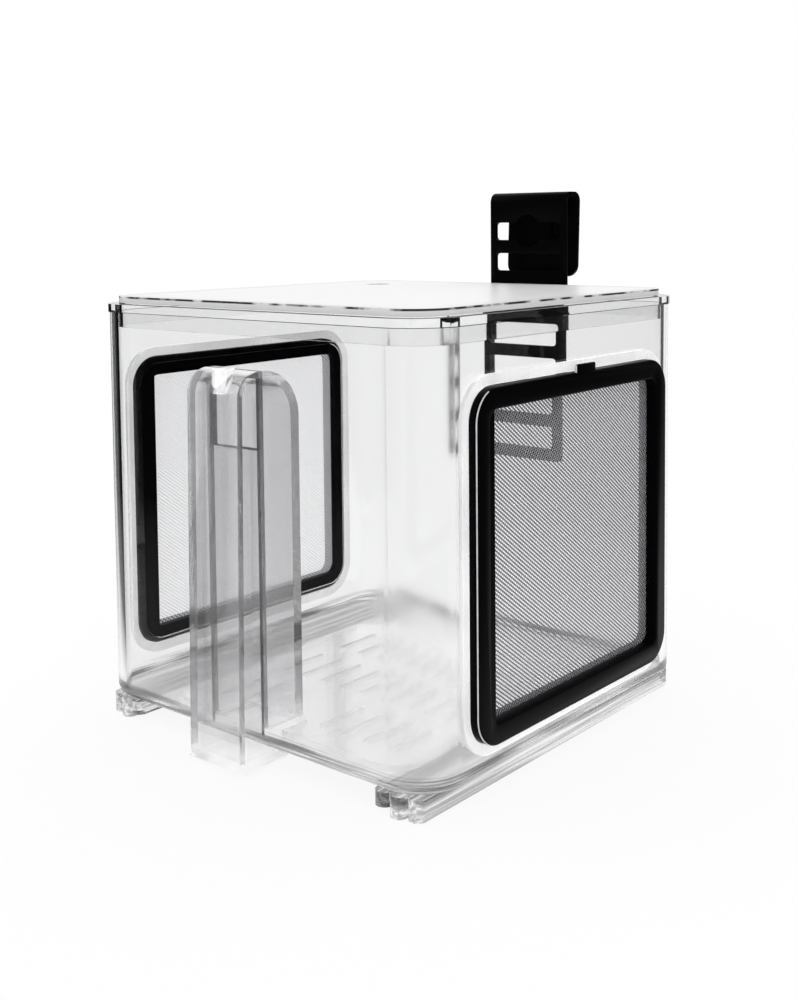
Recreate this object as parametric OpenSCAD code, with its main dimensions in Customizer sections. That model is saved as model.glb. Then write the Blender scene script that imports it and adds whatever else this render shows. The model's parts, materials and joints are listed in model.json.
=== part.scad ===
// Hang-on fish breeding box: clear tub with two mesh windows, a lift-off lid,
// an air-lift duct through the front wall, a slotted floor plate and a hook on a ladder rack.
// +Z is up, the duct faces -Y, the hook is at +Y. The origin is on the ground
// under the middle of the whole outline.

/* [Tub] */
// Outer width of the tub, along X
tub_w = 160; // [150:1:220]
// Outer depth of the tub, along Y
tub_d = 160; // [150:1:220]
// Height of the tub from its underside to its rim
tub_h = 144.3; // [136:0.1:190]
// Thickness of the tub's walls
wall_t = 3.4; // [2:0.1:3.6]
// Thickness of the tub's floor
floor_t = 2.5; // [2:0.1:3]
// Radius of the tub's upright corners
corner_r = 17; // [12:0.5:20]
// Radius of the tub's lower edge
edge_r = 4.2; // [3.8:0.1:5]

/* [Skids] */
// Height of the skids under the tub
skid_h = 7; // [6.8:0.1:9]
// Width of one rib of a skid
rib_w = 6; // [4:0.1:7]
// Distance of the outermost rib's centre from the tub's side
rib_inset = 8; // [6:0.1:10]
// How much higher the inner step rib ends above the ground
step_h = 2.2; // [1:0.1:3]
// Distance of the inner ribs' ends from the tub's front and back
rib_end_gap = 0.1; // [0:0.1:4]
// How much earlier the outermost rib ends
outer_rib_gap = 1.6; // [0:0.1:4]

/* [Lid] */
// Thickness of the lid's plate
lid_t = 2.5; // [2:0.1:3]
// Height of the lid's flange
flange_h = 3; // [2:0.1:4]
// Height of the raised plateau above the flange
plateau_h = 2.7; // [1.5:0.1:4]
// How far the plateau is set in from the tub's side
plateau_inset = 3.5; // [3:0.1:6]
// How far the flange stands out past the tub's side
flange_out = 0.5; // [0.3:0.1:1.2]
// Depth of the lid's skirt below the rim
skirt_h = 5.5; // [4:0.1:9]
// Thickness of the lid's skirt
skirt_t = 2; // [1.5:0.1:3]
// Gap between the skirt and the tub's wall
lid_gap = 0.3; // [0.2:0.05:0.6]
// Diameter of the feeding hole
feed_d = 10; // [6:0.5:14]
// Place of the feeding hole along X
feed_x = -46.3; // [-55:0.1:-30]
// Place of the feeding hole along Y, from the tub's middle
feed_y = 44.6; // [30:0.1:55]

/* [Windows] */
// Length of a window frame, along Y
window_l = 118; // [90:1:122]
// Height of a window frame
window_h = 113.5; // [80:0.5:116]
// Middle of a window along Y, from the tub's middle
window_y = -1.5; // [-4:0.1:4]
// Height of a window frame's lower edge above the tub's underside
window_z = 11.5; // [9.5:0.1:14]
// Outer corner radius of a window frame
window_r = 11; // [9:0.5:14]
// Width of a window frame's face
frame_w = 7; // [6:0.1:10]
// Thickness of the outer half of a window frame
frame_t = 4.5; // [4:0.1:6]
// Thickness of the inner half of a window frame
clamp_t = 2.6; // [1.2:0.1:2.8]
// How far the frame's face laps over the tub's wall
frame_lap = 2.5; // [1.5:0.1:3.5]
// Thickness of the mesh sheet
mesh_t = 0.4; // [0.3:0.05:0.5]
// Openings across the plain grid that stands for the fine weave
grid_count = 12; // [4:1:12]
// Width of the grid's bars
grid_bar = 1.4; // [0.8:0.1:2]
// Gap round a window frame
window_gap = 0.3; // [0.2:0.05:0.5]
// Width of the clear collar round a window frame
collar_w = 3.4; // [2.5:0.1:4.5]
// Height of the collar above the wall
collar_t = 3; // [2:0.1:3.4]
// Length of the pull tab on top of a window frame
tab_l = 12.2; // [8:0.1:20]
// Height of the pull tab above the window frame
tab_h = 2.8; // [2:0.1:5]
// Thickness of the pull tab
tab_t = 1.2; // [0.6:0.1:1.2]
// Middle of the pull tab along Y, from the tub's middle
tab_y = 1.9; // [-10:0.1:10]

/* [Duct] */
// Outer width of the duct
duct_w = 25.6; // [20:0.1:32]
// Middle of the duct along X
duct_x = -3.2; // [-8:0.1:8]
// Thickness of the duct's plates
duct_t = 2.5; // [1.8:0.1:3]
// Depth of the outer duct in front of the wall, which is also its crown radius
riser_d = 8.7; // [8.5:0.1:14]
// How much deeper the outer duct is at its foot
riser_draft = 1.7; // [0:0.1:2]
// Distance of the duct's crown below the tub's rim
duct_drop = 16.7; // [10:0.1:30]
// Thickness of the sump's bottom plate
sump_t = 2.2; // [1.5:0.1:2.4]
// Gap between the sump and the ground
sump_gap = 1.8; // [1.2:0.1:2.4]
// How far the sump reaches in under the tub
sump_reach = 11; // [8:0.5:20]
// Depth of the inner duct behind the wall, which is also its crown radius
inner_duct_d = 16.6; // [12:0.1:22]
// Gap between the inner duct's mouth and the tub's floor
mouth_gap = 4; // [3:0.1:8]
// Height of the flow opening in the front wall
flow_h = 24; // [15:0.5:40]
// Outer diameter of the air port
port_d = 7.6; // [7.5:0.1:8.4]
// Bore of the air port
port_bore = 6.1; // [4:0.1:6.2]
// Length of the air port
port_l = 8; // [7:0.1:12]
// Height of the air port above the duct's crown
port_rise = 0.5; // [0.2:0.1:3]
// Place of the air port along X, from the duct's middle
port_x = 0.5; // [-3:0.1:3]
// Distance of the air port's middle from the tub's front
port_out = 4.3; // [4.2:0.1:4.5]
// Gap between the air port and its hole
port_gap = 0.05; // [0.02:0.01:0.1]

/* [Floor plate] */
// Size of the slotted floor plate along X and Y
plate_w = 108; // [90:1:120]
// Thickness of the floor plate
plate_t = 2; // [1.5:0.1:3]
// Middle of the floor plate along X
plate_x = 8; // [5:0.1:12]
// Middle of the floor plate along Y, from the tub's middle
plate_y = -17; // [-17.5:0.1:-8]
// Corner radius of the floor plate
plate_r = 9; // [3:0.5:14]
// Gap under the floor plate
plate_gap = 0.3; // [0.2:0.05:0.6]
// Gap between the floor plate and the inner duct
notch_gap = 1; // [0.5:0.1:2]
// Width of a slot
slot_w = 1.6; // [1:0.1:2.5]
// Length of a slot
slot_l = 22; // [10:1:26]
// Distance between rows of slots along X
slot_row = 10; // [6:0.5:14]
// Distance between slots in a row along Y
slot_pitch = 32; // [30:1:40]

/* [Hook] */
// Middle of the hanger along X
hanger_x = 3; // [-10:0.1:10]
// Width of the hook
hook_w = 38.5; // [36:0.5:50]
// Thickness of the hook
hook_t = 1.9; // [1.6:0.1:2.4]
// Depth of the hook over both legs
hook_d = 11.6; // [10:0.1:20]
// Height of the hook over its bridge
hook_h = 43.1; // [42:0.1:60]
// Height of the hook's rear leg
rear_leg = 36; // [32:0.5:40]
// Width of the rear leg
rear_w = 35.4; // [30:0.1:38]
// Outer radius of the hook's bends
bend_r = 4; // [3:0.5:5]
// Lean of the rear leg towards the front leg, in degrees
lean = 2.5; // [0:0.5:4]
// Width of the hook's side bars
bar_w = 2.6; // [2:0.1:4]
// Height of a hook window
hook_window_h = 7.5; // [6:0.1:9]
// Distance between the hook windows
hook_pitch = 13.2; // [12:0.1:15]
// Height from the hook's lower edge to its lowest window
hook_window_z = 9.6; // [8:0.1:12]
// Corner radius of a hook window
hook_window_r = 1.6; // [0.5:0.1:2]
// Radius of the grip pad
pad_r = 7; // [5:0.5:8]
// Thickness of the grip pad
pad_t = 0.8; // [0.5:0.1:1]
// Radius of the rear leg's lower corners
hook_corner_r = 5; // [2:0.5:6]
// Length of the hook's tongue that reaches down into the rack
tongue_l = 9.5; // [8:0.1:20]
// Thickness of the tongue
tongue_t = 1.2; // [1:0.1:1.6]
// Height of the neck that joins the tongue to the hook
neck_h = 3.5; // [3:0.1:8]
// Height of the hook's lower edge above the rack's top
neck_rise = 2.5; // [0.6:0.1:4]
// Gap between the hook's face and the rack's face
stand_off = 1.6; // [0.8:0.1:3]

/* [Rack] */
// Height of the rack
rack_h = 67.7; // [66:0.1:90]
// Gap between the rack's top and the tub's rim
rack_drop = 1.3; // [1:0.1:6]
// Outer width of the rack
rack_w = 39.6; // [38:0.1:48]
// Thickness of the rungs
rung_t = 1.2; // [1:0.1:2]
// Width of a rail
rail_w = 2.9; // [2.8:0.1:5]
// Height of a rung
rung_h = 5.2; // [3:0.1:6]
// Distance between rungs
rung_pitch = 14.5; // [12:0.1:15]
// Corner radius of the rack's windows
rack_window_r = 1.6; // [0.5:0.1:2]
// Number of rungs
rungs = 5; // [3:1:5]
// Thickness of the lips in front of the rails' grooves
lip_t = 0.9; // [0.8:0.1:1.8]
// Depth of the rails' grooves
groove = 1.3; // [0.8:0.1:1.8]
// Gap round the hook's tongue
slide_gap = 0.3; // [0.2:0.05:0.4]

/* [Hidden] */

$fn = 96;
// Overlap used where a cut passes a face
cut = 1;

// Colours
clear = [0.86, 0.89, 0.91, 0.35];
black = [0.05, 0.05, 0.055];
grey = [0.35, 0.35, 0.36];

// Y of the tub's faces, measured from the tub's middle
front = -tub_d / 2;
back = tub_d / 2;
side = tub_w / 2;

// Rack and hook positions measured from the tub's middle
tongue_y = back + rung_t + slide_gap;
lip_y = tongue_y + tongue_t + slide_gap;
rack_face = lip_y + lip_t;
hook_y = rack_face + stand_off;
groove_w = rack_w - 2 * (rail_w - groove);
tongue_w = groove_w - 2 * slide_gap;
neck_w = rack_w - 2 * rail_w - 2 * slide_gap;

// The origin is under the middle of the outline: the duct's foot and the hook's back bound it
outline_front = front - riser_d - riser_draft;
outline_back = hook_y + hook_d;
tub_y = -(outline_front + outline_back) / 2;

// Heights above the ground
rim_z = skid_h + tub_h;
window_low = skid_h + window_z;
crown_z = rim_z - duct_drop;
floor_z = skid_h + floor_t;
rack_z = rim_z - rack_drop - rack_h;
tongue_z = rim_z - rack_drop - tongue_l;
hook_z = rim_z - rack_drop + neck_rise;

// Window sizes
opening_l = window_l - 2 * frame_w;
opening_h = window_h - 2 * frame_w;
clamp_l = window_l - 2 * frame_lap;
clamp_h = window_h - 2 * frame_lap;

module at_tub() {
    translate([0, tub_y, 0]) children();
}

// Extrudes a (Y, Z) outline along X, from x on
module along_x(x, length) {
    translate([x, 0, 0]) rotate([90, 0, 90]) linear_extrude(length) children();
}

module round_rect(w, d, r) {
    square([w - 2 * r, d], center = true);
    square([w, d - 2 * r], center = true);
    for (sx = [-1, 1], sy = [-1, 1])
        translate([sx * (w / 2 - r), sy * (d / 2 - r)]) circle(r);
}

// Upright outline of a bottom-rounded wall section, w wide and h high
module round_foot(w, h, e) {
    translate([-w / 2, e]) square([w, h - e]);
    translate([-w / 2 + e, 0]) square([w - 2 * e, h]);
    for (s = [-1, 1]) translate([s * (w / 2 - e), e]) circle(e);
}

// Box with rounded upright corners and a rounded lower edge, its top open-ended and flat
module soft_box(w, d, h, r, e) {
    for (sx = [-1, 1], sy = [-1, 1])
        translate([sx * (w / 2 - r), sy * (d / 2 - r), 0]) rotate_extrude() {
            square([r - e, h]);
            translate([0, e]) square([r, h - e]);
            translate([r - e, e]) intersection() {
                circle(e);
                translate([0, -e]) square([e, e]);
            }
        }
    along_x(-w / 2 + r, w - 2 * r) round_foot(d, h, e);
    rotate([0, 0, 90]) along_x(-d / 2 + r, d - 2 * r) round_foot(w, h, e);
}

module tub() {
    color(clear) at_tub() difference() {
        translate([0, 0, skid_h]) soft_box(tub_w, tub_d, tub_h, corner_r, edge_r);
        translate([0, 0, floor_z])
            soft_box(tub_w - 2 * wall_t, tub_d - 2 * wall_t, tub_h, corner_r - wall_t,
                edge_r - wall_t);
        for (s = [-1, 1])
            along_x(s * side - wall_t - cut, 2 * (wall_t + cut))
                translate([window_y, window_low + window_h / 2])
                    round_rect(clamp_l + 2 * window_gap, clamp_h + 2 * window_gap,
                        window_r - frame_lap + window_gap);
        flow_opening();
    }
}

// Opening through the front wall, under the crowns of the two duct halves
module flow_opening() {
    translate([duct_x - duct_w / 2 + duct_t, front - cut, crown_z - duct_t - flow_h])
        cube([duct_w - 2 * duct_t, wall_t + 2 * cut, flow_h]);
}

// One rib of a skid: a bar with round ends, its lower end at z
module rib(x, end, z) {
    length = tub_d - 2 * end - rib_w;
    translate([x, 0, z]) linear_extrude(skid_h - z) {
        square([rib_w, length], center = true);
        for (s = [-1, 1]) translate([0, s * length / 2]) circle(rib_w / 2);
    }
}

// A skid is three ribs side by side: two stand on the ground, the inner one is a step
module skid() {
    outer = side - rib_inset;
    rib(outer, rib_end_gap + outer_rib_gap, 0);
    rib(outer - rib_w, rib_end_gap, 0);
    rib(outer - 2 * rib_w, rib_end_gap, step_h);
}

module skid_right() {
    color(clear) at_tub() skid();
}

module skid_left() {
    color(clear) at_tub() mirror([1, 0, 0]) skid();
}

module lid() {
    skirt_w = tub_w - 2 * (wall_t + lid_gap);
    skirt_d = tub_d - 2 * (wall_t + lid_gap);
    skirt_r = corner_r - wall_t - lid_gap;
    inner_w = skirt_w - 2 * skirt_t;
    inner_d = skirt_d - 2 * skirt_t;
    lid_top = rim_z + flange_h + plateau_h;
    color(clear) at_tub() difference() {
        union() {
            translate([0, 0, rim_z]) linear_extrude(flange_h)
                round_rect(tub_w + 2 * flange_out, tub_d + 2 * flange_out,
                    corner_r + flange_out);
            translate([0, 0, rim_z]) linear_extrude(flange_h + plateau_h)
                round_rect(tub_w - 2 * plateau_inset, tub_d - 2 * plateau_inset,
                    corner_r - plateau_inset);
            translate([0, 0, rim_z - skirt_h]) linear_extrude(skirt_h + flange_h)
                round_rect(skirt_w, skirt_d, skirt_r);
        }
        translate([0, 0, rim_z - skirt_h - cut])
            linear_extrude(lid_top - lid_t - rim_z + skirt_h + cut)
                round_rect(inner_w, inner_d, skirt_r - skirt_t);
        translate([feed_x, feed_y, rim_z]) cylinder(d = feed_d, h = lid_top);
    }
}

// Places a (Y, Z) outline on a window's middle and extrudes it outwards
module on_window(x, depth) {
    at_tub() along_x(x, depth) translate([window_y, window_low + window_h / 2]) children();
}

// Clear rim on the wall round a window frame
module collar() {
    inner_l = window_l + 2 * window_gap;
    inner_h = window_h + 2 * window_gap;
    on_window(side, collar_t) difference() {
        round_rect(inner_l + 2 * collar_w, inner_h + 2 * collar_w,
            window_r + window_gap + collar_w);
        round_rect(inner_l, inner_h, window_r + window_gap);
    }
}

// Black outer half of a window frame with its pull tab
module frame() {
    tab_x = side + frame_t - tab_t;
    tab_z = window_low + window_h;
    on_window(side, frame_t) difference() {
        round_rect(window_l, window_h, window_r);
        round_rect(opening_l, opening_h, window_r - frame_w);
    }
    at_tub() translate([tab_x, tab_y - tab_l / 2, tab_z - frame_w / 2])
        cube([tab_t, tab_l, tab_h + frame_w / 2]);
}

// Black inner half of a window frame, which holds the mesh against the outer half
module clamp() {
    on_window(side - mesh_t - clamp_t, clamp_t) difference() {
        round_rect(clamp_l, clamp_h, window_r - frame_lap);
        round_rect(opening_l, opening_h, window_r - frame_w);
    }
}

// Mesh sheet with a plain grid of openings and a closed rim under the frame
module mesh_sheet() {
    step_l = (opening_l + grid_bar) / grid_count;
    step_h = (opening_h + grid_bar) / grid_count;
    middle = (grid_count - 1) / 2;
    on_window(side - mesh_t, mesh_t) difference() {
        round_rect(clamp_l, clamp_h, window_r - frame_lap);
        intersection() {
            round_rect(opening_l, opening_h, window_r - frame_w);
            for (i = [0:grid_count - 1], j = [0:grid_count - 1])
                translate([(i - middle) * step_l, (j - middle) * step_h])
                    square([step_l - grid_bar, step_h - grid_bar], center = true);
        }
    }
}

module collar_right() {
    color(clear) collar();
}

module collar_left() {
    color(clear) mirror([1, 0, 0]) collar();
}

module frame_right() {
    color(black) frame();
}

module frame_left() {
    color(black) mirror([1, 0, 0]) frame();
}

module clamp_right() {
    color(black) clamp();
}

module clamp_left() {
    color(black) mirror([1, 0, 0]) clamp();
}

module mesh_right() {
    color(grey) mesh_sheet();
}

module mesh_left() {
    color(grey) mirror([1, 0, 0]) mesh_sheet();
}

// Outline of the outer duct: straight front with a round crown and a sump, t inside its faces
module riser_outline(t) {
    crown_r = riser_d - t;
    spring_z = crown_z - riser_d;
    foot_z = sump_gap + (t > 0 ? sump_t : 0);
    intersection() {
        translate([front, spring_z]) circle(crown_r);
        translate([front - riser_d, spring_z]) square(riser_d);
    }
    polygon([
        [front - crown_r, spring_z],
        [front - crown_r - riser_draft, foot_z],
        [front, foot_z],
        [front, spring_z]
    ]);
    translate([front, foot_z])
        square([sump_reach + (t > 0 ? cut : 0), skid_h - foot_z]);
    translate([front, foot_z]) square([edge_r, skid_h + edge_r - foot_z]);
}

// The tub's own section, which the duct's plates follow
module tub_section() {
    translate([0, skid_h]) round_foot(tub_d, tub_h, edge_r);
}

module riser() {
    left = duct_x - duct_w / 2;
    color(clear) at_tub() difference() {
        along_x(left, duct_w) difference() {
            riser_outline(0);
            tub_section();
        }
        along_x(left + duct_t, duct_w - 2 * duct_t) riser_outline(duct_t);
        air_port_place() cylinder(d = port_d + 2 * port_gap, h = port_l + cut);
    }
}

// Outline of the inner duct: a straight end plate with a round crown, t inside its faces
module downcomer_outline(t) {
    crown_r = inner_duct_d - t;
    wall_y = front + wall_t;
    spring_z = crown_z - inner_duct_d;
    mouth_z = floor_z + mouth_gap - (t > 0 ? cut : 0);
    intersection() {
        translate([wall_y, spring_z]) circle(crown_r);
        translate([wall_y, spring_z]) square(inner_duct_d);
    }
    translate([wall_y, mouth_z]) square([crown_r, spring_z - mouth_z]);
    if (t > 0) translate([wall_y - cut, mouth_z]) square([2 * cut, crown_z - t - mouth_z]);
}

module downcomer() {
    left = duct_x - duct_w / 2;
    color(clear) at_tub() difference() {
        along_x(left, duct_w) downcomer_outline(0);
        along_x(left + duct_t, duct_w - 2 * duct_t) downcomer_outline(duct_t);
    }
}

module air_port_place() {
    translate([duct_x + port_x, front - port_out, crown_z + port_rise - port_l]) children();
}

module air_port() {
    color(grey) at_tub() air_port_place() difference() {
        cylinder(d = port_d, h = port_l);
        translate([0, 0, -cut]) cylinder(d = port_bore, h = port_l + 2 * cut);
    }
}

// One slot with round ends, along Y
module slot() {
    square([slot_w, slot_l - slot_w], center = true);
    for (s = [-1, 1]) translate([0, s * (slot_l - slot_w) / 2]) circle(slot_w / 2);
}

module floor_plate() {
    // Rows that fit between the plate's corners, and slots that fit in a row
    rows = floor((plate_w / 2 - plate_r) / slot_row);
    places = floor((plate_w / 2 - slot_l / 2 - plate_r / 2) / slot_pitch);
    notch_w = duct_w + 2 * notch_gap;
    notch_back = front + wall_t + inner_duct_d + notch_gap;
    color(clear) at_tub() translate([0, 0, floor_z + plate_gap]) linear_extrude(plate_t)
        difference() {
            translate([plate_x, plate_y]) round_rect(plate_w, plate_w, plate_r);
            translate([duct_x - notch_w / 2, notch_back - tub_d]) square([notch_w, tub_d]);
            for (row = [-rows:rows], place = [-places:places]) {
                slot_x = plate_x + row * slot_row;
                slot_y = plate_y + place * slot_pitch;
                near_duct = abs(slot_x - duct_x) < notch_w / 2 + 2 * slot_w;
                if (!near_duct || slot_y - slot_l / 2 > notch_back + slot_w)
                    translate([slot_x, slot_y]) slot();
            }
        }
}

// Ladder on the back wall: two grooved rails, and a thin plate whose windows leave the rungs
module rack() {
    inner_w = rack_w - 2 * rail_w;
    color(black) at_tub() translate([hanger_x, 0, rack_z]) {
        for (m = [0, 1]) mirror([m, 0, 0]) translate([rack_w / 2 - rail_w, back, 0])
            difference() {
                cube([rail_w, rack_face - back, rack_h]);
                translate([-cut, -cut, -cut])
                    cube([groove + cut, lip_y - back + cut, rack_h + 2 * cut]);
            }
        translate([0, back + rung_t, 0]) rotate([90, 0, 0]) linear_extrude(rung_t)
            difference() {
                translate([-rack_w / 2 + rail_w / 4, 0])
                    square([rack_w - rail_w / 2, rack_h]);
                for (i = [0:rungs - 1])
                    translate([0, i * rung_pitch + (rung_h + rung_pitch) / 2])
                        round_rect(inner_w, rung_pitch - rung_h, rack_window_r);
            }
    }
}

// Rounded rectangle with its lower left corner at the origin
module round_rect_at(w, d, r) {
    translate([w / 2, d / 2]) round_rect(w, d, r);
}

// The hook's side view: front leg and bridge with two bends
module hook_section() {
    bridge_h = 3 * bend_r;
    difference() {
        union() {
            translate([0, hook_h - bridge_h]) round_rect_at(hook_d, bridge_h, bend_r);
            square([hook_t, hook_h - bend_r]);
        }
        translate([hook_t, hook_h - hook_t - bridge_h])
            round_rect_at(hook_d - 2 * hook_t, bridge_h, bend_r - hook_t);
        translate([hook_t, 0]) square([hook_d, hook_h - bend_r]);
    }
}

// Height of the rear leg's top, where the bridge's bend ends, and how far the leg leans in
rear_top = hook_h - bend_r;
rear_length = rear_leg - bend_r;
lean_run = rear_length * tan(lean);

// Side view of the leaning rear leg
module rear_leg_section() {
    polygon([
        [hook_d - hook_t, rear_top],
        [hook_d, rear_top],
        [hook_d - lean_run, rear_top - rear_length],
        [hook_d - hook_t - lean_run, rear_top - rear_length]
    ]);
}

// Rear view of the rear leg, its top edge at the origin, with round lower corners
module rear_leg_outline() {
    half_w = rear_w / 2 - hook_corner_r;
    translate([-rear_w / 2, hook_corner_r - rear_length])
        square([rear_w, rear_length - hook_corner_r]);
    translate([-half_w, -rear_length]) square([2 * half_w, rear_length]);
    for (s = [-1, 1]) translate([s * half_w, hook_corner_r - rear_length])
        circle(hook_corner_r);
}

// The rear leg's right side is flush with the hook's right side
rear_x = (hook_w - rear_w) / 2;

module rear_leg() {
    intersection() {
        along_x(-hook_w / 2, hook_w) rear_leg_section();
        translate([rear_x, hook_d + cut, rear_top]) rotate([90, 0, 0])
            linear_extrude(hook_d + cut) rear_leg_outline();
    }
}

// Height of the grip pad's middle above the hook's lower edge: the upper window's middle
pad_z = hook_window_z + hook_pitch + hook_window_h / 2;

module at_hook() {
    at_tub() translate([hanger_x, hook_y, hook_z]) children();
}

// Window and grip pad outline of the front leg, in its (X, Z) plane
module hook_windows() {
    for (i = [0, 1])
        translate([0, hook_window_z + i * hook_pitch + hook_window_h / 2])
            round_rect(hook_w - 2 * bar_w, hook_window_h, hook_window_r);
    translate([0, pad_z]) circle(pad_r);
}

// Tongue in the rack's grooves and the narrower neck that carries the hook
module tongue() {
    tongue_h = hook_z + neck_h - tongue_z;
    depth = hook_y + hook_t - tongue_y;
    translate([-tongue_w / 2, tongue_y - hook_y, tongue_z - hook_z])
        cube([tongue_w, tongue_t, tongue_h]);
    translate([-neck_w / 2, tongue_y - hook_y, 0]) cube([neck_w, depth, neck_h]);
}

module hook() {
    color(black) at_hook() {
        difference() {
            along_x(-hook_w / 2, hook_w) hook_section();
            translate([0, hook_t + cut, 0]) rotate([90, 0, 0])
                linear_extrude(hook_t + 2 * cut) hook_windows();
        }
        rear_leg();
        tongue();
    }
}

module grip_pad() {
    pad_y = hook_d - hook_t - (rear_top - pad_z) * tan(lean);
    color(grey) at_hook() translate([0, pad_y, pad_z]) rotate([90 - lean, 0, 0])
        cylinder(r = pad_r, h = pad_t);
}

tub();
skid_left();
skid_right();
lid();
collar_left();
collar_right();
frame_left();
frame_right();
mesh_left();
mesh_right();
clamp_left();
clamp_right();
riser();
downcomer();
air_port();
floor_plate();
rack();
hook();
grip_pad();
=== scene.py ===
import json
import math

import bmesh
import bpy
from mathutils import Matrix, Vector


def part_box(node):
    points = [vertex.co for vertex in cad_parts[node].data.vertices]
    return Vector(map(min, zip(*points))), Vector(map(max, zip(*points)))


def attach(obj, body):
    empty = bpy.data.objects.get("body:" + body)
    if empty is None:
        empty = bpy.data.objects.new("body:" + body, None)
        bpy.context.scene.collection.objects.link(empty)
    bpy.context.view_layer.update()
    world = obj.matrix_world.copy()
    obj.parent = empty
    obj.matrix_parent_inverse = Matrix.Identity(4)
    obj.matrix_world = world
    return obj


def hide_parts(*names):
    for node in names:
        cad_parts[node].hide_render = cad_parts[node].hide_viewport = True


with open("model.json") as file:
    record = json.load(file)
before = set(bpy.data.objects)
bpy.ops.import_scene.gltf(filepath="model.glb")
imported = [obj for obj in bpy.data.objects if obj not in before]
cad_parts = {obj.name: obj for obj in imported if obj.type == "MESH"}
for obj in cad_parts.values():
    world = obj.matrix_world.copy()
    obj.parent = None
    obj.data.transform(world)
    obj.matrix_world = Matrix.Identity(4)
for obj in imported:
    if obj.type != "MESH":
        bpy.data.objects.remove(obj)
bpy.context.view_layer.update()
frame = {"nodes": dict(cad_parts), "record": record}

MM = 0.001

BODY_OF = {node: body for body, names in frame["record"]["behaviour"]["bodies"].items()
           for node in names}

# Photograph's frame in pixels, and the camera that its edges give
PHOTO_W, PHOTO_H = 798, 1000
FOCAL_PX = 1279.8
CENTRE_PX = (394.4, 310.0)
# Camera's place from the middle of the tub's underside
CAMERA_FROM_TUB = (0.3148, -0.3700, 0.1751)
CAMERA_YAW, CAMERA_PITCH, CAMERA_ROLL = 0.704, 0.066, 0.010
SENSOR_MM = 36.0

# What reflections see besides the white backdrop, as two (position, grey) pairs each: black
# flags left and right of the set and a dark room in front of it by direction, and the floor in
# front, right and left of the object by metres; the left one leans forward by its share
FLAG_LEFT = ((-0.42, 0.05), (-0.33, 1.0))
FLAG_RIGHT = ((0.5, 1.0), (0.75, 0.12))
ROOM = ((0.05, 0.04), (0.5, 1.0))
FLOOR_FRONT = ((-0.14, 0.03), (-0.09, 1.0))
FLOOR_RIGHT = ((0.12, 1.0), (0.22, 0.04))
FLOOR_LEFT = ((-0.19, 0.03), (-0.13, 1.0))
FLOOR_LEFT_LEAN = 0.3
WHITE = (1, 1, 1, 1)

# Tone and glow of the white layer that paints light on clear faces: a painted glow
PAINTED_GLOW_TONE = (0.95, 0.6)

# Share of the floor's own glow under the object, and how far out it is all glow
NEAR_GLOW = 0.9
FLOOR_REACH = 0.5

# Half the width of the floor
FLOOR_HALF = 4.0

# Where the lamps point, and their size
LAMP_AIM = (0, 0, 0.08)
LAMP_SIZE = 1.4

# Mesh windows: a square weave set on the bias, with wires of these radii, that stops inside the
# edge of the CAD sheet
WIRE_PITCH = 1.13 * MM
WIRE_TURN = math.radians(36)
RISING_R = 0.08 * MM
FALLING_R = {"left": 0.13 * MM, "right": 0.2 * MM}
WEAVE_INSET = 3 * MM

# Radius of the tub's upright corners, and how far from the walls the front one's haze begins
CORNER_R = 17 * MM
HAZE_REACH = 1.4 * CORNER_R

# Heights above the tub's underside where the floor's painted pale glow ends and the painted grey
# shade of the foot ends, as (none left, all there)
BED_ENDS = (12 * MM, 10 * MM)
FOOT_ENDS = (6 * MM, 4 * MM)

# How far from its outer edge a frame can show the painted highlight of its rounded edges, and the
# Y of the normals of those that face the front
RIM = 5 * MM
FACES_FRONT = -0.4

# Thickness of a window's clear rim
RIM_T = 1.4 * MM

# Width of a frame's bar, height of its pull tab, and the strip that widens its front bar: its
# width, its lap with the front bar and with those above and below, and its stand-back from faces
FRAME_W = 7 * MM
TAB_H = 2.8 * MM
STILE_W = 2.6 * MM
STILE_LAP = 0.5 * MM
STILE_END_LAP = 1 * MM
STILE_BACK = 0.1 * MM

# How far the lid's plateau stands back from the lid's edge, and the width of the painted grey shade
# along the plateau's border
LID_STEP = 4 * MM
BORDER_W = 9 * MM

# Depths below the lid's top, as (none yet, all there): the top painted white as a reflection, the
# flank painted white with a faint glow, and the dark line round the top edge, a painted reflection
LID_TOP = (0.4 * MM, 0.1 * MM)
LID_FLANK = (2.5 * MM, 2.3 * MM)
LID_LINE = (0.8 * MM, 0.6 * MM)

# Vertices this close are one, faces this flat to each other are one, and edges this sharp are
# rounded or shaded sharp
WELD = 0.002 * MM
FLAT = math.radians(1)
SHARP = math.radians(35)
SHADED_SHARP = math.radians(40)

# Tint of the ducts and window rims, and of the floor plate
DUCT_TINT = (0.993, 0.99, 0.999)
PLATE_TINT = (0.99, 0.991, 0.993)


# ---- small helpers -------------------------------------------------------------------

def new_material(name):
    mat = bpy.data.materials.new(name)
    mat.use_nodes = True
    return mat, mat.node_tree.nodes, mat.node_tree.links


def principled(nodes):
    return next(n for n in nodes if n.type == "BSDF_PRINCIPLED")


def noise(nodes, links, scale, detail=2.0):
    """Noise on object coordinates, which are metres on every piece here."""
    place = nodes.new("ShaderNodeTexCoord")
    tex = nodes.new("ShaderNodeTexNoise")
    tex.inputs["Scale"].default_value = scale
    tex.inputs["Detail"].default_value = detail
    links.new(place.outputs["Object"], tex.inputs["Vector"])
    return tex.outputs["Fac"]


def streaks(nodes, links, stretch, low, high):
    """Streaks of noise, 0 to 1 between low and high; stretch is the scale along X, Y and Z."""
    place = nodes.new("ShaderNodeTexCoord")
    draw_out = nodes.new("ShaderNodeMapping")
    draw_out.inputs["Scale"].default_value = stretch
    tex = nodes.new("ShaderNodeTexNoise")
    tex.inputs["Scale"].default_value = 1
    tex.inputs["Detail"].default_value = 3
    links.new(place.outputs["Object"], draw_out.inputs["Vector"])
    links.new(draw_out.outputs["Vector"], tex.inputs["Vector"])
    return span(nodes, links, tex.outputs["Fac"], low, high)


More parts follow.
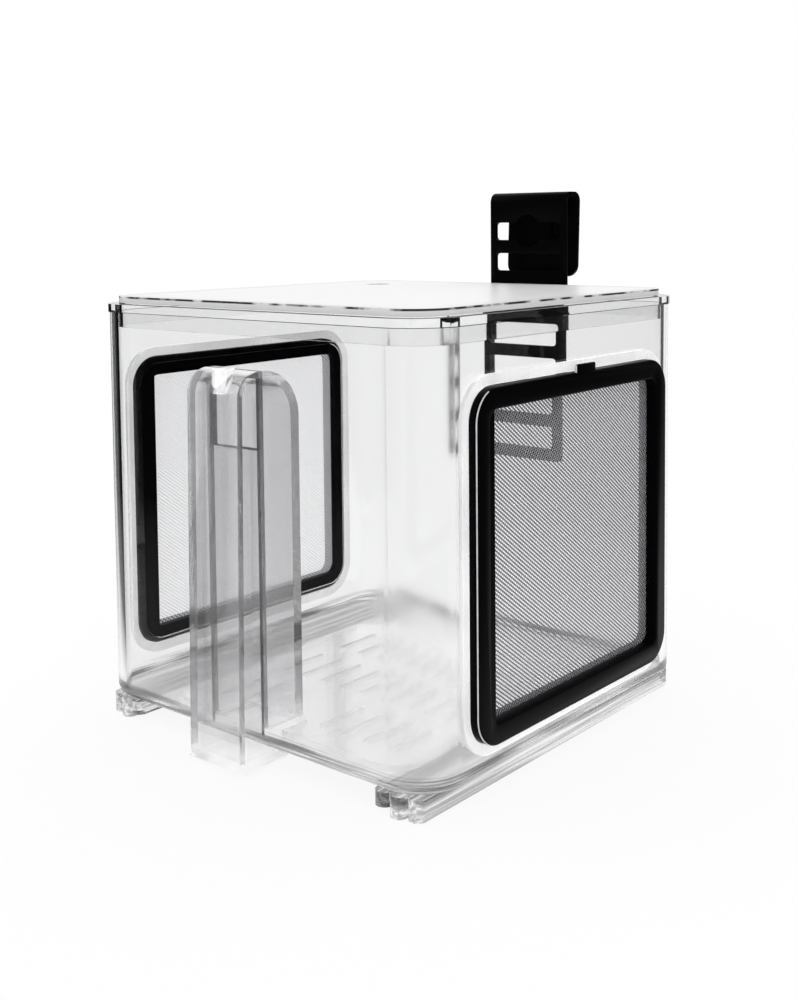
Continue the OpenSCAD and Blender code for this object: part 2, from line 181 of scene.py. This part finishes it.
def ramp(nodes, links, value, low, high):
    """Maps a 0..1 value to low..high."""
    spread = nodes.new("ShaderNodeMapRange")
    spread.inputs["To Min"].default_value = low
    spread.inputs["To Max"].default_value = high
    links.new(value, spread.inputs["Value"])
    return spread.outputs["Result"]


def span(nodes, links, value, start, end):
    """0 up to start, 1 from end on; start may be the larger one."""
    out = ramp(nodes, links, value, 0, 1)
    out.node.inputs["From Min"].default_value = start
    out.node.inputs["From Max"].default_value = end
    return out


def feed(links, socket, value):
    """Gives an input a socket's value or a plain one."""
    if isinstance(value, bpy.types.NodeSocket):
        links.new(value, socket)
    else:
        socket.default_value = value


def combine(nodes, links, operation, first, *rest):
    """Math nodes that join sockets or plain values from left to right."""
    for value in rest:
        node = nodes.new("ShaderNodeMath")
        node.operation = operation
        feed(links, node.inputs[0], first)
        feed(links, node.inputs[1], value)
        first = node.outputs[0]
    return first


def times(nodes, links, *values):
    return combine(nodes, links, "MULTIPLY", *values)


def mix_colour(nodes, links, share, first, second, blend="MIX"):
    """Blends two colours; share, first and second are sockets or plain values."""
    mix = nodes.new("ShaderNodeMixRGB")
    mix.blend_type = blend
    for name, value in (("Fac", share), ("Color1", first), ("Color2", second)):
        feed(links, mix.inputs[name], value)
    return mix.outputs["Color"]


def two_tones(nodes, links, value, first, second):
    """Colour from first to second as a 0..1 value grows."""
    shade = nodes.new("ShaderNodeValToRGB")
    for stop, colour in zip(shade.color_ramp.elements, (first, second)):
        stop.color = (*colour, 1)
    links.new(value, shade.inputs["Fac"])
    return shade.outputs["Color"]


def direction_ramp(nodes, links, source, axis, stops):
    """Grey value by how far a coordinate lies along axis; stops are (position, grey)."""
    place = nodes.new("ShaderNodeTexCoord")
    lean = nodes.new("ShaderNodeVectorMath")
    lean.operation = "DOT_PRODUCT"
    lean.inputs[1].default_value = axis
    links.new(place.outputs[source], lean.inputs[0])
    spread = nodes.new("ShaderNodeMapRange")
    for name, number in zip(("From Min", "To Min", "From Max", "To Max"), stops[0] + stops[1]):
        spread.inputs[name].default_value = number
    links.new(lean.outputs["Value"], spread.inputs["Value"])
    return spread.outputs["Result"]


def bump(nodes, links, height, strength, distance, target):
    node = nodes.new("ShaderNodeBump")
    node.inputs["Strength"].default_value = strength
    node.inputs["Distance"].default_value = distance
    links.new(height, node.inputs["Height"])
    links.new(node.outputs["Normal"], target.inputs["Normal"])


# ---- materials -----------------------------------------------------------------------

def clear_plastic(name, tint, ripple, polish=0.03):
    """Clear acrylic: slight tint at each surface, faint haze up to polish, and a moulding ripple."""
    mat, nodes, links = new_material(name)
    shader = principled(nodes)
    shader.inputs["Base Color"].default_value = (*tint, 1)
    shader.inputs["Transmission Weight"].default_value = 1
    shader.inputs["IOR"].default_value = 1.49
    rough = ramp(nodes, links, noise(nodes, links, 60), 0.0, polish)
    links.new(rough, shader.inputs["Roughness"])
    bump(nodes, links, noise(nodes, links, 25, 1), ripple, 0.2 * MM, shader)
    return mat, nodes, links


def surface_place(nodes, links):
    """Place of the shaded point in the piece, as X, Y and Z sockets, and how far it faces up."""
    shape = nodes.new("ShaderNodeNewGeometry")
    own = nodes.new("ShaderNodeTexCoord")
    normal, place = nodes.new("ShaderNodeSeparateXYZ"), nodes.new("ShaderNodeSeparateXYZ")
    links.new(shape.outputs["Normal"], normal.inputs[0])
    links.new(own.outputs["Object"], place.inputs[0])
    return place.outputs, span(nodes, links, normal.outputs["Z"], 0.85, 0.98)


def cover(mat, share, layer):
    """Lets a share of a material show the shader output layer instead."""
    nodes, links = mat.node_tree.nodes, mat.node_tree.links
    out = next(n for n in nodes if n.type == "OUTPUT_MATERIAL")
    mix = nodes.new("ShaderNodeMixShader")
    links.new(share, mix.inputs["Fac"])
    links.new(out.inputs["Surface"].links[0].from_socket, mix.inputs[1])
    links.new(layer, mix.inputs[2])
    links.new(mix.outputs["Shader"], out.inputs["Surface"])


def lay_over(mat, share, tone, glow=0.0):
    """Lays a satin layer of a grey tone over a material, with the given share socket; here it paints
    light and shade, and its glow is painted light.
    """
    nodes, links = mat.node_tree.nodes, mat.node_tree.links
    painted_layer = nodes.new("ShaderNodeBsdfPrincipled")
    painted_layer.inputs["Base Color"].default_value = (tone, tone, tone, 1)
    links.new(ramp(nodes, links, noise(nodes, links, 90, 3), 0.25, 0.4),
              painted_layer.inputs["Roughness"])
    painted_layer.inputs["Emission Color"].default_value = (1, 1, 1, 1)
    painted_layer.inputs["Emission Strength"].default_value = glow
    cover(mat, share, painted_layer.outputs["BSDF"])


def thin_out(mat, share):
    """Lets a share of the light through a material unbent."""
    clear = mat.node_tree.nodes.new("ShaderNodeBsdfTransparent")
    cover(mat, share, clear.outputs["BSDF"])


def painted_light_lid():
    """Clear lid with a plateau painted white as a reflection, painted grey shade near its border,
    white flanks with a painted glow, and a broken dark top line that paints a reflection.
    """
    mat, nodes, links = clear_plastic("acrylic_lid", (0.99, 0.99, 0.992), 0.08)
    place, upward = surface_place(nodes, links)
    low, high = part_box("lid")

    def below_top(depths):
        return span(nodes, links, place["Z"], *(high.z - depth for depth in depths))

    upright = combine(nodes, links, "SUBTRACT", 1, upward)
    plateau = times(nodes, links, upward, below_top(LID_TOP))
    # Upright faces below the top: white with a faint glow, painted light
    lay_over(mat, times(nodes, links, upright, below_top(LID_FLANK), 0.8), 0.9, 0.05)
    # The plateau: satin white, a painted reflection on the clear top
    lay_over(mat, plateau, 0.82)
    for axis, i in (("X", 0), ("Y", 1)):
        reach = (high[i] - low[i]) / 2 - LID_STEP
        offset = combine(nodes, links, "SUBTRACT", place[axis], (low[i] + high[i]) / 2)
        off = combine(nodes, links, "ABSOLUTE", offset, 0)
        # Painted shade: the plateau greys towards its border
        border = span(nodes, links, off, reach - BORDER_W, reach)
        lay_over(mat, times(nodes, links, plateau, border, 0.35), 0.4)
    # Painted reflection: a broken dark line round the top edge, the dark dashes a clear edge
    # reflects
    broken = span(nodes, links, noise(nodes, links, 120, 3), 0.4, 0.55)
    lay_over(mat, times(nodes, links, upright, below_top(LID_LINE), broken), 0.03)
    return mat


def glow_painted_plastic(name, tint, ripple, body, painted_glow_share, bed):
    """Clear plastic of which only a body share bends light, under a thin white layer of painted
    glow.

    Faces that look up are whiter, by the share bed: painted light from above.
    """
    mat, nodes, links = clear_plastic(name, tint, ripple, 0.012)
    principled(nodes).inputs["Alpha"].default_value = body
    upward = surface_place(nodes, links)[1]
    clouds = ramp(nodes, links, noise(nodes, links, 40, 3), 0.6, 1.4)
    # Painted light: a glowing white layer over a share of every face, larger on faces that look up
    white = combine(nodes, links, "ADD", times(nodes, links, upward, bed), painted_glow_share)
    lay_over(mat, times(nodes, links, white, clouds), *PAINTED_GLOW_TONE)
    return mat


def skid_plastic():
    """Clear plastic with grey streaks along it, painted shade."""
    mat, nodes, links = clear_plastic("acrylic_skid", (0.96, 0.961, 0.964), 0.3)
    lines = streaks(nodes, links, (700, 12, 700), 0.4, 0.6)
    # Painted shade: grey streaks on the clear skid
    lay_over(mat, times(nodes, links, lines, 0.65), 0.22)
    return mat


def tub_plastic():
    """Clear wall with a floor painted pale with glow, a hazy front corner, and grey lines round its
    foot that paint shade.
    """
    mat, nodes, links = clear_plastic("acrylic_wall", (0.995, 0.996, 0.997), 0.06)
    place, upward = surface_place(nodes, links)
    low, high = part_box("tub")
    near_x = span(nodes, links, place["X"], high.x - HAZE_REACH, high.x - CORNER_R)
    near_y = span(nodes, links, place["Y"], low.y + HAZE_REACH, low.y + CORNER_R)
    haze = times(nodes, links, near_x, near_y, 0.1)
    rough = principled(nodes).inputs["Roughness"]
    links.new(combine(nodes, links, "ADD", haze, rough.links[0].from_socket), rough)

    def above_base(heights):
        return span(nodes, links, place["Z"], *(low.z + height for height in heights))

    # The tub's floor lets part of the light through unbent and is painted pale with glow, painted
    # light
    bed = times(nodes, links, upward, above_base(BED_ENDS))
    thin_out(mat, times(nodes, links, bed, 0.6))
    lay_over(mat, times(nodes, links, bed, 0.25), *PAINTED_GLOW_TONE)
    upright = combine(nodes, links, "SUBTRACT", 1, upward)
    # Painted shade: grey streaks darken the walls towards their foot, where they meet the floor
    lines = streaks(nodes, links, (25, 25, 900), 0.42, 0.62)
    lay_over(mat, times(nodes, links, upright, above_base(FOOT_ENDS), lines, 0.8), 0.14)
    return mat


def black_plastic(name, rough_low, rough_high):
    """Moulded black plastic with a fine grain and small colour changes."""
    mat, nodes, links = new_material(name)
    shader = principled(nodes)
    grain = noise(nodes, links, 900, 4)
    shade = two_tones(nodes, links, grain, (0.0007, 0.0007, 0.0009), (0.0025, 0.0025, 0.0029))
    links.new(shade, shader.inputs["Base Color"])
    shader.inputs["Specular IOR Level"].default_value = 0.04
    links.new(ramp(nodes, links, grain, rough_low, rough_high), shader.inputs["Roughness"])
    bump(nodes, links, grain, 0.25, 0.05 * MM, shader)
    return mat


def wire_plastic(name, low, high, glow=0.0):
    """Grey nylon with a faint violet tint; light that comes through it shows as a glow."""
    mat, nodes, links = new_material(name)
    shader = principled(nodes)
    tones = [Vector((tone, tone * 0.99, tone * 1.05)) for tone in (low, high)]
    shade = two_tones(nodes, links, noise(nodes, links, 300), *tones)
    links.new(shade, shader.inputs["Base Color"])
    shader.inputs["Roughness"].default_value = 0.35
    shader.inputs["Emission Color"].default_value = (1, 1, 1, 1)
    shader.inputs["Emission Strength"].default_value = glow
    return mat


def white_ray(nodes, links):
    """1 for rays that no gloss has turned, which see the set white all round."""
    path = nodes.new("ShaderNodeLightPath").outputs
    straight = combine(nodes, links, "LESS_THAN", path["Glossy Depth"], 0.5)
    return combine(nodes, links, "MAXIMUM", straight, path["Is Diffuse Ray"])


def floor_white():
    """White that glows more the farther it is from the object, so that the near shadow stays.

    Reflections see the floor in front of the object and beside it as dark as the room there.
    """
    mat, nodes, links = new_material("floor_white")
    nodes.remove(principled(nodes))
    out = next(n for n in nodes if n.type == "OUTPUT_MATERIAL")
    lit = nodes.new("ShaderNodeBsdfDiffuse")
    shade = two_tones(nodes, links, noise(nodes, links, 3), [0.90] * 3, [0.92] * 3)
    links.new(shade, lit.inputs["Color"])
    glow = nodes.new("ShaderNodeEmission")
    glow.inputs["Strength"].default_value = 1
    beside, _, ahead = camera_axes()
    seen = WHITE
    for axis, stops in (((1, 0, 0), FLOOR_RIGHT), ((0, 1, 0), FLOOR_FRONT),
                        (beside + ahead * FLOOR_LEFT_LEAN, FLOOR_LEFT)):
        dark = direction_ramp(nodes, links, "Object", axis, stops)
        seen = mix_colour(nodes, links, 1, seen, dark, "MULTIPLY")
    colour = mix_colour(nodes, links, white_ray(nodes, links), seen, WHITE)
    links.new(colour, glow.inputs["Color"])
    place = nodes.new("ShaderNodeTexCoord")
    distance = nodes.new("ShaderNodeVectorMath")
    distance.operation = "LENGTH"
    links.new(place.outputs["Object"], distance.inputs[0])
    share = ramp(nodes, links, distance.outputs["Value"], NEAR_GLOW, 1)
    share.node.inputs["From Min"].default_value = FLOOR_REACH / 2
    share.node.inputs["From Max"].default_value = FLOOR_REACH
    mix = nodes.new("ShaderNodeMixShader")
    links.new(share, mix.inputs["Fac"])
    links.new(lit.outputs["BSDF"], mix.inputs[1])
    links.new(glow.outputs["Emission"], mix.inputs[2])
    links.new(mix.outputs["Shader"], out.inputs["Surface"])
    return mat


def give(material, *names):
    for name in names:
        mesh = frame["nodes"][name].data
        mesh.materials.clear()
        mesh.materials.append(material)


# ---- camera, floor and light ---------------------------------------------------------

def camera_axes():
    """Camera's right, up and forward directions from its yaw, pitch and roll."""
    forward = Vector((
        -math.sin(CAMERA_YAW) * math.cos(CAMERA_PITCH),
        math.cos(CAMERA_YAW) * math.cos(CAMERA_PITCH),
        -math.sin(CAMERA_PITCH),
    ))
    level = Vector((math.cos(CAMERA_YAW), math.sin(CAMERA_YAW), 0))
    down = forward.cross(level)
    right = level * math.cos(CAMERA_ROLL) + down * math.sin(CAMERA_ROLL)
    up = level * math.sin(CAMERA_ROLL) - down * math.cos(CAMERA_ROLL)
    return right, up, forward


def make_camera():
    right, up, forward = camera_axes()
    cam = bpy.data.objects.new("camera", bpy.data.cameras.new("camera"))
    bpy.context.collection.objects.link(cam)
    turn = Matrix((right, up, -forward)).transposed().to_4x4()
    low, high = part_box("tub")
    base = Vector(((low[0] + high[0]) / 2, (low[1] + high[1]) / 2, low[2]))
    cam.matrix_world = Matrix.Translation(base + Vector(CAMERA_FROM_TUB)) @ turn
    cam.data.sensor_fit = "HORIZONTAL"
    cam.data.sensor_width = SENSOR_MM
    cam.data.lens = FOCAL_PX * SENSOR_MM / PHOTO_W
    cam.data.shift_x = (PHOTO_W / 2 - CENTRE_PX[0]) / PHOTO_W
    cam.data.shift_y = (CENTRE_PX[1] - PHOTO_H / 2) / PHOTO_W
    cam.data.clip_start, cam.data.clip_end = 0.01, 20
    bpy.context.scene.camera = cam


def make_floor():
    half = FLOOR_HALF
    mesh = bpy.data.meshes.new("floor")
    corners = [(-half, -half, 0), (half, -half, 0), (half, half, 0), (-half, half, 0)]
    mesh.from_pydata(corners, [], [(0, 1, 2, 3)])
    mesh.materials.append(floor_white())
    floor = bpy.data.objects.new("floor", mesh)
    bpy.context.collection.objects.link(floor)


def make_light(name, place, power):
    data = bpy.data.lights.new(name, "AREA")
    data.shape, data.size, data.energy = "SQUARE", LAMP_SIZE, power
    lamp = bpy.data.objects.new(name, data)
    lamp.location = place
    aim = Vector(LAMP_AIM) - Vector(place)
    lamp.rotation_mode = "QUATERNION"
    lamp.rotation_quaternion = aim.to_track_quat("-Z", "Y")
    bpy.context.collection.objects.link(lamp)


def make_world():
    """White backdrop; reflections see black flags beside the set and a dark room in front."""
    world = bpy.data.worlds.new("studio")
    bpy.context.scene.world = world
    world.use_nodes = True
    nodes, links = world.node_tree.nodes, world.node_tree.links
    ground = nodes["Background"]
    right, _, forward = camera_axes()
    seen = WHITE
    for axis, stops in ((forward, ROOM), (right, FLAG_LEFT), (right, FLAG_RIGHT)):
        dark = direction_ramp(nodes, links, "Generated", axis, stops)
        seen = mix_colour(nodes, links, 1, seen, dark, "MULTIPLY")
    colour = mix_colour(nodes, links, white_ray(nodes, links), seen, WHITE)
    links.new(colour, ground.inputs["Color"])
    ground.inputs["Strength"].default_value = 1


# ---- pieces that the scene adds ------------------------------------------------------

def add_piece(name, mesh, node, replaces=True):
    """Adds a mesh that rides on a CAD node's body and is drawn in its place or beside it."""
    piece = bpy.data.objects.new(name, mesh)
    bpy.context.collection.objects.link(piece)
    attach(piece, BODY_OF[node])
    if replaces:
        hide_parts(node)


# ---- mesh windows --------------------------------------------------------------------

def add_bar(verts, faces, x, start, end, r):
    """Square bar of half width r between two (y, z) points in a window's plane."""
    base = len(verts)
    across = (end - start).orthogonal().normalized() * r
    for point in (start, end):
        for dx, way in ((-r, -1), (r, -1), (r, 1), (-r, 1)):
            place = point + across * way
            verts.append((x + dx, place.x, place.y))
    faces += [tuple(base + i for i in q) for q in
              ((0, 1, 2, 3), (7, 6, 5, 4), (0, 4, 5, 1), (1, 5, 6, 2), (2, 6, 7, 3),
               (3, 7, 4, 0))]


def clip_line(point, way, half):
    """Part of the line through point along way that lies within +-half, or None."""
    near, far = -math.inf, math.inf
    for axis in (0, 1):
        a, b = sorted(((-half[axis] - point[axis]) / way[axis],
                       (half[axis] - point[axis]) / way[axis]))
        near, far = max(near, a), min(far, b)
    if far - near < WIRE_PITCH:
        return None
    return point + way * near, point + way * far


def make_mesh_window(side, falling, rising):
    """Woven sheet of thin wires that stands for the CAD sheet of one window."""
    node = "mesh_" + side
    low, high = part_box(node)
    middle = (low + high) / 2
    centre = Vector((middle.y, middle.z))
    half = Vector((high.y - low.y, high.z - low.z)) / 2 - Vector((WEAVE_INSET, WEAVE_INSET))
    count = int(half.length / WIRE_PITCH)
    verts, faces, owners = [], [], []
    for owner, turn, r, dx in ((0, -WIRE_TURN, FALLING_R[side], 0),
                               (1, math.pi / 2 - WIRE_TURN, RISING_R, RISING_R)):
        way = Vector((math.cos(turn), math.sin(turn)))
        for i in range(-count, count + 1):
            part = clip_line(way.orthogonal() * i * WIRE_PITCH, way, half)
            if part:
                add_bar(verts, faces, middle.x + dx, centre + part[0], centre + part[1], r)
        owners += [owner] * (len(faces) - len(owners))
    mesh = bpy.data.meshes.new("wires_" + side)
    mesh.from_pydata(verts, [], faces)
    mesh.materials.append(falling)
    mesh.materials.append(rising)
    mesh.polygons.foreach_set("material_index", owners)
    add_piece("wires_" + side, mesh, node)


# ---- pieces with their edges broken ---------------------------------------------------

def soften(node, width, material, highlight_material=None):
    """Stands for a CAD node with its sharp edges rounded by width, as moulded plastic has them.

    Where the outer rim's rounded edges face the front, they can have a lighter material of their
    own, which paints a highlight on them.
    """
    source = frame["nodes"][node]
    form = bmesh.new()
    form.from_mesh(source.data)
    bmesh.ops.remove_doubles(form, verts=form.verts, dist=WELD)
    bmesh.ops.dissolve_limit(form, angle_limit=FLAT, verts=form.verts, edges=form.edges)
    sharp = [e for e in form.edges if len(e.link_faces) == 2 and e.calc_face_angle(0) > SHARP]
    bmesh.ops.bevel(form, geom=sharp, offset=width, segments=2, profile=0.5,
                    affect="EDGES", clamp_overlap=True, material=1 if highlight_material else -1)
    mesh = bpy.data.meshes.new(node + "_soft")
    form.to_mesh(mesh)
    form.free()
    for face in mesh.polygons:
        face.use_smooth = True
    mesh.materials.append(material)
    if highlight_material:
        mesh.materials.append(highlight_material)
        low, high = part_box(node)
        # Front-facing rounded faces near the outer edge keep the lighter material: a painted
        # highlight
        for face in mesh.polygons:
            spot = source.matrix_world @ face.center
            inside = all(min(spot[i] - low[i], high[i] - spot[i]) > RIM for i in (1, 2))
            if inside or face.normal.y > FACES_FRONT:
                face.material_index = 0
    mesh.set_sharp_from_angle(angle=SHADED_SHARP)
    add_piece(node + "_soft", mesh, node)


def flatten(node, material):
    """Stands for a window's clear rim, thinner beside the frame than the CAD rim is."""
    source = frame["nodes"][node]
    low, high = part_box(node)
    outward = 1 if low[0] > 0 else -1
    wall = low[0] if outward > 0 else high[0]
    mesh = source.data.copy()
    mesh.name = node + "_flat"
    mesh.materials.clear()
    for vertex in mesh.vertices:
        spot = source.matrix_world @ vertex.co
        if abs(spot.x - wall) > RIM_T:
            vertex.co.x += wall + outward * RIM_T - spot.x
    mesh.materials.append(material)
    add_piece(mesh.name, mesh, node)


def add_stile(side, material):
    """Widens the frame's upright bar at the front of the tub."""
    (low, high), (clamp_low, clamp_high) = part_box("frame_" + side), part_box("clamp_" + side)
    front = low.y + FRAME_W - STILE_LAP
    place = (
        (min(low.x, clamp_low.x) + STILE_BACK, front, low.z + FRAME_W - STILE_END_LAP),
        (max(high.x, clamp_high.x) - STILE_BACK, front + STILE_W,
         high.z - TAB_H - FRAME_W + STILE_END_LAP),
    )
    form = bmesh.new()
    bmesh.ops.create_cube(form, size=1)
    for vertex in form.verts:
        vertex.co = [place[vertex.co[i] > 0][i] for i in range(3)]
    mesh = bpy.data.meshes.new("stile_" + side)
    form.to_mesh(mesh)
    form.free()
    mesh.materials.append(material)
    add_piece("stile_" + side, mesh, "frame_" + side, replaces=False)


# ---- the scene -----------------------------------------------------------------------

make_camera()
make_floor()
make_world()
make_light("key", (0.9, -1.0, 1.6), 5)
make_light("fill", (-1.4, -0.4, 1.1), 2.5)
make_light("back", (-0.2, 1.5, 1.5), 3)

give(tub_plastic(), "tub")
give(painted_light_lid(), "lid")
# Ducts and floor plate: clear plastic under a thin white layer of painted glow, more on faces that
# look up
give(glow_painted_plastic("acrylic_duct", DUCT_TINT, 0.03, body=0.8, painted_glow_share=0.006, bed=0.6),
     "riser", "downcomer")
give(glow_painted_plastic("acrylic_plate", PLATE_TINT, 0.06, body=0.6, painted_glow_share=0.015, bed=0.2),
     "floor_plate")
# Window rims and air port: a large share of painted glow, painted light that makes the clear rims
# white
rim_plastic = glow_painted_plastic("acrylic_rim", DUCT_TINT, 0.3, body=0.9, painted_glow_share=0.25, bed=0.5)
give(rim_plastic, "air_port")
give(skid_plastic(), "skid_left", "skid_right")
flatten("collar_left", rim_plastic)
flatten("collar_right", rim_plastic)
black_frame = black_plastic("black_frame", 0.25, 0.4)
black_hanger = black_plastic("black_hanger", 0.3, 0.45)
# Lighter grey for the right frame's front-facing rounded edges: a painted highlight
frame_edge_highlight = wire_plastic("frame_edge_highlight", 0.35, 0.8)
soften("frame_left", 0.7 * MM, black_frame)
soften("frame_right", 1.2 * MM, black_frame, frame_edge_highlight)
add_stile("left", black_frame)
add_stile("right", black_frame)
soften("hook", 0.3 * MM, black_hanger)
soften("rack", 0.2 * MM, black_hanger)
give(black_plastic("black_clamp", 0.35, 0.5), "clamp_left", "clamp_right")
give(black_plastic("black_rubber", 0.6, 0.8), "grip_pad")

# Lit and shaded copies of one mesh: the left window's wires near white with a glow, painted light;
# the right window's falling wires dark grey, painted shade
pale_wire = wire_plastic("wire_pale", 0.5, 0.65)
painted_light_wire = wire_plastic("wire_painted_light", 0.8, 0.9, glow=0.25)
make_mesh_window("left", painted_light_wire, painted_light_wire)
make_mesh_window("right", wire_plastic("wire_painted_shade", 0.1, 0.2), pale_wire)

bpy.context.scene.view_settings.view_transform = "Standard"
